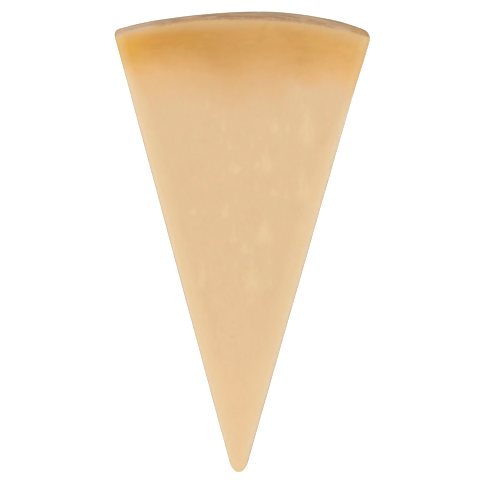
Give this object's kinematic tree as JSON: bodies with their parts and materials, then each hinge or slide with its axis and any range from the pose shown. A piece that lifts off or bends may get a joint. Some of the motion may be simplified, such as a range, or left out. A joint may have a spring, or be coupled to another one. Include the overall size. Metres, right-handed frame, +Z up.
{
  "type": "wedge of hard cheese",
  "caption": "Long thin wedge of aged hard cheese with a rind on its curved back, lying on a flat cut face.",
  "frame": {"origin": "on the resting face, below the middle of the wedge's bounding box", "axes": "+Y from the tip to the rind, +X to the right with the tip towards the viewer, +Z up through the thickness"},
  "size_m": [0.1, 0.18, 0.038],
  "materials": {
    "cheese": "waxy cut paste, amber towards the rind, with a thin dry tan-brown rind on the curved back"
  },
  "bodies": {
    "root": {"cheese_wedge": "cheese"}
  },
  "joints": []
}
